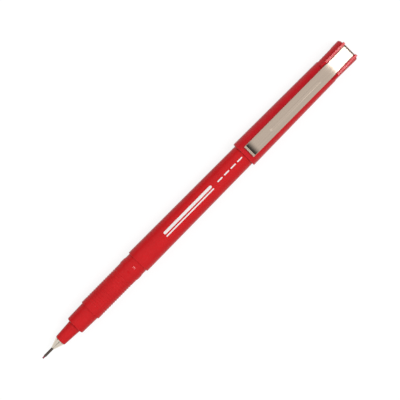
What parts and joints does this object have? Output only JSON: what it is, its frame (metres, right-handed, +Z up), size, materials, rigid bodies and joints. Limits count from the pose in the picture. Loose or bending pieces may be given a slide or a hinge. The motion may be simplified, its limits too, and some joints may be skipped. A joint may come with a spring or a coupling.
{
  "type": "fineliner pen",
  "caption": "Slim fineliner pen with a ringed grip, a metal-clad point and a ribbed cap posted on its tail; a steel strip clip is bent over the cap's crown.",
  "frame": {"origin": "under the middle of the pen, level with the lowest point of the cap mouth", "axes": "+X along the pen from the writing tip to the cap's crown, +Y across, +Z up through the clip"},
  "size_m": [0.1498, 0.01, 0.0111],
  "materials": {
    "red_gloss": "smooth moulded plastic, soft gloss",
    "red_cap": "smooth moulded plastic, soft gloss",
    "steel": "satin stainless strip",
    "nib_metal": "turned metal",
    "tube_metal": "drawn tube",
    "core_red": "porous plastic, ink soaked",
    "fibre": "bonded fibre, ink soaked",
    "film": "clear film",
    "liner": "soft moulded plastic"
  },
  "bodies": {
    "pen": {"barrel": "red_gloss", "tail_plug": "red_gloss", "grip_section": "red_gloss", "nib_cone": "nib_metal", "nib_tube": "tube_metal", "nib_core": "core_red", "ink_reservoir": "fibre", "reservoir_sleeve": "film"},
    "cap": {"cap_shell": "red_cap", "inner_cap": "liner", "clip_root": "steel"},
    "clip": {"clip_arm": "steel"}
  },
  "joints": [
    {"name": "cap_slide", "type": "slide", "parent": "pen", "child": "cap", "axis": [1, 0, 0], "range_m": [0, 0.036]},
    {"name": "clip_flex", "type": "hinge", "parent": "cap", "child": "clip", "pos_m": [0.0655, 0, 0.01103], "axis": [0, 1, 0], "range_deg": [0, 4], "stiffness_Nm_per_rad": 1.5}
  ]
}
